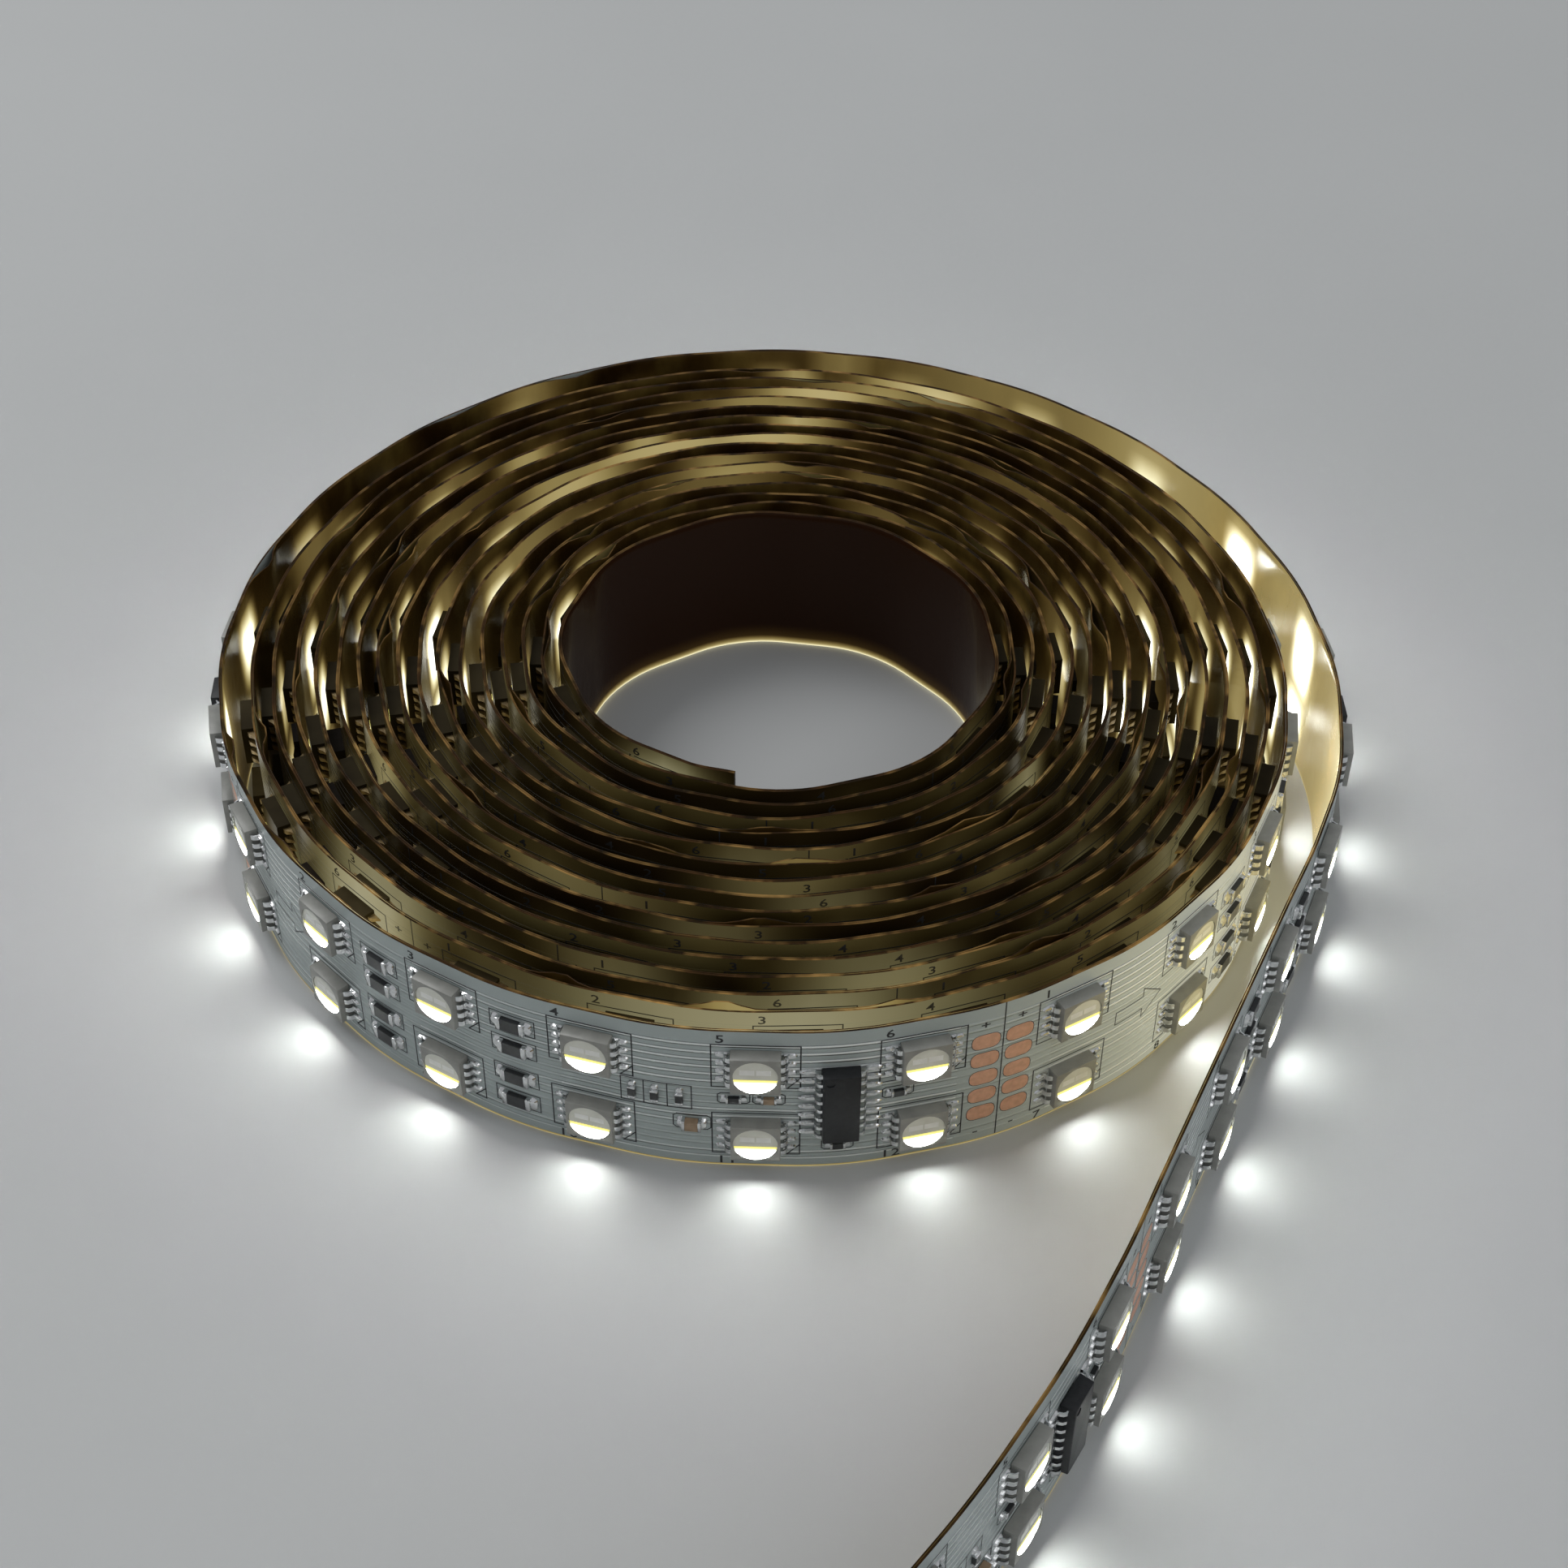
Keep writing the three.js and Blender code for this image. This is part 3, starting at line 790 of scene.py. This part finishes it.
# The control chips: one 16-lead package in each segment, in charcoal moulding compound, on two
# rows of tinned gull-wing leads. A small dimple marks the first lead.
CHIP_LENGTH, CHIP_DEPTH, CHIP_HEIGHT = 3.9, 1.5, 9.9
CHIP_MIDDLE = 10.2
LEAD_PITCH = 1.27


def at_chips(shape, segments):
    """The shape at the control chips of these segments."""
    return [stand(shape, SEGMENT * segment - COLUMN, CHIP_MIDDLE) for segment in segments]


body = box(CHIP_LENGTH, CHIP_DEPTH, CHIP_HEIGHT, 0.9, 0.1, 2)
for vertex in body.data.vertices:
    if vertex.co.y > 0:
        vertex.co.x *= 0.94
        vertex.co.z *= 0.975
chip_body = recessed(body, (-1.15, 1.65, 4.0), 0.42, 0.2, 20)
lead_line = [(1.85, 0.85), (2.15, 0.84), (2.32, 0.68), (2.45, 0.30), (2.60, 0.12), (3.5, 0.10)]
lead = bent_strip(lead_line, 0.18, 0.42)
drop = moved(solder_drop(1.75, 0.60, 0.34), 2.45)
leads = both_sides([moved(shape, up=(i - 3.5) * LEAD_PITCH) for i in range(8) for shape in (lead, drop)])
tones = (0.019, 0.020, 0.022), (0.012, 0.013, 0.015)
charcoal = finish_of("Chip moulding compound", *tones, 0.45, 1800, bump=0.2, gloss=0.35)
# The inner turns' chips and resistors in near black brown: painted shade and amber light.
tones = (0.016, 0.010, 0.004), (0.009, 0.005, 0.002)
shaded_block = finish_of("Chip in amber light", *tones, 0.5, 900, gloss=0.1)
outer_segments = range(1, OUTER_SEGMENTS + 1)
for segment, shape in zip(outer_segments, at_chips(chip_body, outer_segments)):
    chip = make(f"chip_body_{segment}", shape, charcoal)
    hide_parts(f"control_chip_{segment}")
make("chip_leads", gather(at_chips(leads, outer_segments)), tin, smooth=50)
plain_chip = plain_led[0] * [CHIP_LENGTH / LED_SIZE, 1.6 / 1.5, CHIP_HEIGHT / LED_SIZE], plain_led[1]
shapes = at_chips(plain_chip, range(OUTER_SEGMENTS + 1, SEGMENTS + 1))
make("chips_of_inner_turns", gather(shapes), shaded_block, smooth=0)


# The chip resistors and capacitors: ceramic blocks with tinned end caps, black glass or tan
# ceramic in the middle, each soldered at both ends.
FRONT_START = 400
OTHER_STARTS = (0, 100, 200, 300, 500)
STACK_HEIGHTS = (15.2, 11.8, 7.5, 4.0)


def block(length, height, thickness):
    return shape_of(box(length, thickness, height, ON_FACE + thickness / 2, 0.04, 1))


def turned(shape):
    """The shape stood upright, its length up the strip."""
    return shape[0][:, [2, 1, 0]], [face[::-1] for face in shape[1]]


def part_shapes(length, height, thickness):
    """A block's body, and its caps with their solder."""
    cap = length * 0.17
    body = block(length - 2 * cap + 0.02, height, thickness)
    end = moved(block(cap, height + 0.03, thickness + 0.03), u=(length - cap) / 2)
    pool = moved(solder_drop(0.5 + 0.1 * length, height * 1.15, thickness * 0.75), u=length / 2 - 0.1)
    return body, gather([end, mirrored(end), pool, mirrored(pool)])


power_body, power_ends = part_shapes(3.2, 1.6, 0.55)
small_body, small_ends = part_shapes(1.6, 0.8, 0.45)
large_body, large_ends = part_shapes(2.0, 1.25, 0.8)
upright_body, upright_ends = turned(small_body), turned(small_ends)
glass = finish_of("Resistor glass", (0.030, 0.031, 0.033), (0.018, 0.019, 0.021), 0.28, 2000)
ceramic = finish_of("Capacitor ceramic", (0.36, 0.255, 0.165), (0.28, 0.195, 0.12), 0.4, 1500)
spots = [(u, z) for u in (2 * COLUMN, 3 * COLUMN) for z in STACK_HEIGHTS]
small_parts = [
    ("address_resistor_1", upright_body, upright_ends, glass, 62.6, 10.0),
    ("address_resistor_2", upright_body, upright_ends, glass, 64.9, 10.0),
    ("address_resistor_3", upright_body, upright_ends, glass, 67.4, 10.0),
    ("supply_capacitor", large_body, large_ends, ceramic, 68.6, 6.4),
    ("bias_resistor", small_body, small_ends, glass, 72.8, 10.3),
    ("filter_capacitor", small_body, small_ends, ceramic, 76.3, 10.3),
    ("foot_resistor", small_body, small_ends, glass, 83.2, 3.4),
    ("output_resistor", small_body, small_ends, glass, 89.2, 10.3),
]
for i, (u, z) in enumerate(spots, 1):
    resistor = make(f"power_resistor_body_{i}", stand(power_body, FRONT_START + u, z), glass)
    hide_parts(f"power_resistor_{i}")
for name, body, ends, material, u, z in small_parts:
    part = make(f"{name}_body", stand(body, FRONT_START + u, z), material)
    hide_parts(name)


def other_bodies(wanted):
    """The small parts' bodies of this material, in the outer segments but the front one."""
    return [
        stand(body, start + u, z)
        for start in OTHER_STARTS
        for _, body, _, material, u, z in small_parts
        if material is wanted
    ]


shapes = [stand(power_body, start + u, z) for start in OTHER_STARTS for u, z in spots]
make("resistors_of_outer_turn", gather(shapes + other_bodies(glass)), glass)
make("capacitors_of_outer_turn", gather(other_bodies(ceramic)), ceramic)
starts = (*OTHER_STARTS, FRONT_START)
shapes = [stand(power_ends, start + u, z) for start in starts for u, z in spots]
shapes += [stand(ends, start + u, z) for start in starts for _, _, ends, _, u, z in small_parts]
make("part_ends", gather(shapes), tin, smooth=50)
plain_resistor = plain_led[0] * [3.2 / LED_SIZE, 0.6 / 1.5, 1.6 / LED_SIZE], plain_led[1]
inner_segments = range(OUTER_SEGMENTS, SEGMENTS)
shapes = [stand(plain_resistor, SEGMENT * s + u, z) for s in inner_segments for u, z in spots]
make("resistors_of_inner_turns", gather(shapes), shaded_block, smooth=0)


# The solder pads: five bare copper pads in a row on each side of every cut line, with round ends,
# where the mask leaves the copper open.
PAD_HEIGHTS = (15, 12.35, 9.7, 7.05, 4.4)
PAD_OFFSET = 1.85
PAD_CORNER = 0.8
PAD_FACE = 0.012


def pad(length, height, station, middle):
    """A rounded pad on the strip, in upright slices so that it bends with it."""
    half = length / 2 - PAD_CORNER
    bend = [PAD_CORNER * math.sin(math.radians(a)) for a in (0, 22, 42, 60, 76, 90)]
    u = np.array([-half - b for b in bend[::-1]] + [half + b for b in bend])
    rise = np.sqrt(np.maximum(PAD_CORNER**2 - np.maximum(np.abs(u) - half, 0) ** 2, 0))
    reach = height / 2 - PAD_CORNER + rise
    count = len(u)
    lower, upper = (wind(station + u, PAD_FACE, z) for z in (middle - reach, middle + reach))
    return np.vstack((lower, upper)), [[i, i + 1, i + 1 + count, i + count] for i in range(count - 1)]


def pad_outline(length, height):
    """The points round a pad, from its middle."""
    half, rise = length / 2 - PAD_CORNER, height / 2 - PAD_CORNER
    right = [(half + x, rise + y) for x, y in arc(PAD_CORNER, 0, 90, 4)]
    upper = right + [(-x, y) for x, y in right[::-1]]
    return upper + [(x, -y) for x, y in upper[::-1]]


cuts = np.arange(0, LENGTH + 1, float(SEGMENT))
pad_spots = [(cut + d, z) for cut in cuts for d in (-PAD_OFFSET, PAD_OFFSET) for z in PAD_HEIGHTS]
pad_spots = [(s, z) for s, z in pad_spots if 0 < s < LENGTH]
copper = finish_of("Bare copper pad", (0.78, 0.44, 0.30), (0.66, 0.36, 0.24), 0.45, 1500, metallic=0.2)
shapes = [pad(3.0, 2.0, s, z) for s, z in pad_spots]
make("copper_pads", gather(shapes), copper, smooth=0, closed=False)


# The screen print: black lines and plain numbers on the white mask. A bracket frames each LED, and
# lines mark the cuts. Boxes frame the small parts.
INK_FACE = 0.014
FIGURE_SIZE = 1.55
ARROW = [(14.0, 9.2), (17.8, 9.2), (17.8, 8.0), (20.6, 10.1), (17.8, 12.2), (17.8, 11.0), (14.0, 11.0)]
UPRIGHT_LINES = (61.4, 63.75, 66.15, 68.6)
SMALL_FRAMES = (
    (68.6, 6.4, 1.9, 1.05),
    (72.8, 10.3, 1.6, 0.75),
    (76.3, 10.3, 1.6, 0.75),
    (89.2, 10.3, 1.6, 0.75),
    (83.2, 3.4, 1.6, 0.75),
)
FRAME_CORNERS = ((-1, -0.7), (-0.8, -1), (0.8, -1), (1, -0.7), (1, 0.7), (0.8, 1), (-0.8, 1), (-1, 0.7))
ink = []


def stroke(points, width=0.14, closed=False):
    """Prints a line through (station, height) points."""
    points = list(points) + ([points[0]] if closed else [])
    for (s0, z0), (s1, z1) in zip(points, points[1:]):
        length = math.hypot(s1 - s0, z1 - z0)
        du, dz = (s1 - s0) / length * width / 2, (z1 - z0) / length * width / 2
        s0, z0, s1, z1 = s0 - du, z0 - dz, s1 + du, z1 + dz
        count = max(1, math.ceil(abs(s1 - s0) / 1.3))
        t = np.linspace(0, 1, count + 1)
        s, z = s0 + t * (s1 - s0), z0 + t * (z1 - z0)
        corners = np.vstack((wind(s + dz, INK_FACE, z - du), wind(s - dz, INK_FACE, z + du)))
        faces = [[i, i + 1, i + 2 + count, i + 1 + count] for i in range(count)]
        ink.append((corners, faces))


figures = {}
for figure in "0123456789+-":
    bpy.ops.object.text_add(location=(0, 0, 0))
    text = bpy.context.object
    text.data.body = figure
    text.data.size = 1.0
    text.data.resolution_u = 2
    text.data.offset = 0.012
    bpy.ops.object.convert(target="MESH")
    figures[figure] = shape_of(bpy.context.object)


def label(words, station, height):
    """Prints plain figures from a (station, height) corner."""
    for i, figure in enumerate(words):
        corners, faces = figures[figure]
        x, y = corners[:, 0] * FIGURE_SIZE * 1.25, corners[:, 1] * FIGURE_SIZE
        ink.append((wind(station + i * 0.72 * FIGURE_SIZE + x, INK_FACE, height + y), faces))


def print_cut(start):
    """The line across the strip where it may be cut, with signs at its pads."""
    stroke([(start, 0.4), (start, 19.9)])
    for offset in (1.4, -2.6):
        label("+", start + offset, 16.9)
        label("-", start + offset, 1.1)


def print_column(number, middle, shown):
    """Brackets and numbers of one column's LEDs. Between the turns only the upper one shows."""
    for z in ROWS.values() if shown else (ROWS["upper"],):
        left, right, top, bottom = middle - 4.4, middle + 4.4, z + 3.05, z - 3.05
        right_end = bottom + 1.4 * (z == ROWS["lower"])
        stroke([(left, bottom), (left, top), (right, top), (right, right_end)])
        if shown:
            stroke([(left, bottom), (middle - 2.6, bottom)])
            stroke([(right, bottom + 0.1), (right, bottom + 1.5), (right - 1.3, bottom), (right, bottom)])
    label(str(number), middle - 4.0, 18.35)
    if shown:
        label(str(number + 6), middle - 4.0, 0.35)


def print_frames(start):
    """The arrow, and the boxes round a segment's resistors and capacitors."""
    stroke([(start + u, z) for u, z in ARROW], 0.12, closed=True)
    for u, z in spots:
        frame_box = [(u - 2.5, z - 1.15), (u + 2.5, z - 1.15), (u + 2.5, z + 1.15), (u - 2.5, z + 1.15)]
        stroke([(start + a, b) for a, b in frame_box], 0.12, closed=True)
    for u in UPRIGHT_LINES:
        stroke([(start + u, 8.3), (start + u, 11.7)], 0.12)
    stroke([(start + UPRIGHT_LINES[0], 8.3), (start + UPRIGHT_LINES[-1], 8.3)], 0.12)
    stroke([(start + UPRIGHT_LINES[0], 11.7), (start + UPRIGHT_LINES[-1], 11.7)], 0.12)
    for u, z, w, h in SMALL_FRAMES:
        stroke([(start + u + a * w, z + b * h) for a, b in FRAME_CORNERS], 0.12, closed=True)


for segment in range(SEGMENTS):
    start = SEGMENT * segment
    shown = segment < OUTER_SEGMENTS
    if segment:
        print_cut(start)
    for column in range(6):
        print_column(column + 1, start + (column + 0.5) * COLUMN, shown)
    if shown:
        print_frames(start)
for s, z in pad_spots:
    if s < OUTER_SEGMENTS * SEGMENT + 1:
        stroke([(s + u, z + up) for u, up in pad_outline(3.08, 2.08)], 0.07, closed=True)
black_ink = finish_of("Black screen print", (0.030, 0.031, 0.034), (0.016, 0.017, 0.019), 0.6, 900)
make("screen_print", gather(ink), black_ink, smooth=0, closed=False)


# The photograph's setting, made plain: a pale floor, soft light from above, and the camera where
# the photograph was taken, looking down on the reel from the front.
CAMERA_X, CAMERA_Y, CAMERA_Z = -0.2, -226.5, 0.2046
CAMERA_PITCH, CAMERA_YAW, CAMERA_ROLL = 42.17, 0.64, 0.46
floor_paint = finish_of("Pale floor", (0.52, 0.53, 0.53), (0.505, 0.515, 0.515), 0.6, 12)
bpy.ops.mesh.primitive_plane_add(size=6, location=(0, 0, 0))
floor = bpy.context.object
floor.name = "floor"
floor.data.materials.append(floor_paint)
floor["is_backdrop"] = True


def area_lamp(name, place, target, size, power):
    """A square soft lamp that looks at a target."""
    data = bpy.data.lights.new(name, "AREA")
    data.size = size
    data.energy = power
    lamp = bpy.data.objects.new(name, data)
    bpy.context.scene.collection.objects.link(lamp)
    lamp.location = place
    lamp.rotation_euler = (Vector(target) - Vector(place)).to_track_quat("-Z", "Y").to_euler()


area_lamp("key", (-0.45, 0.35, 0.75), (0, 0.03, 0), 0.5, 3.0)
area_lamp("fill", (0.6, -0.5, 0.7), (0, 0, 0), 0.8, 1.4)
world = bpy.data.worlds.new("Soft surroundings")
bpy.context.scene.world = world
world.use_nodes = True
world.node_tree.nodes["Background"].inputs["Color"].default_value = (0.83, 0.85, 0.87, 1)
world.node_tree.nodes["Background"].inputs["Strength"].default_value = 0.45

pitch, yaw, roll = (math.radians(x) for x in (CAMERA_PITCH, CAMERA_YAW, CAMERA_ROLL))
forward = Vector((math.sin(yaw) * math.cos(pitch), math.cos(yaw) * math.cos(pitch), -math.sin(pitch)))
level = forward.cross(Vector((0, 0, 1))).normalized()
upward = level.cross(forward)
right = math.cos(roll) * level + math.sin(roll) * upward
above = -math.sin(roll) * level + math.cos(roll) * upward
camera_data = bpy.data.cameras.new("camera")
camera_data.lens = 59.18
camera_data.sensor_width = 36
camera_data.clip_start = 0.01
camera = bpy.data.objects.new("camera", camera_data)
bpy.context.scene.collection.objects.link(camera)
place = Vector(((CAMERA_X + shift[0]) / MM, (CAMERA_Y + shift[1]) / MM, CAMERA_Z))
facing_axes = Matrix((right, above, -forward)).transposed().to_4x4()
camera.matrix_world = Matrix.Translation(place) @ facing_axes
bpy.context.scene.camera = camera
bpy.context.scene.view_settings.view_transform = "Standard"

low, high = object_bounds()
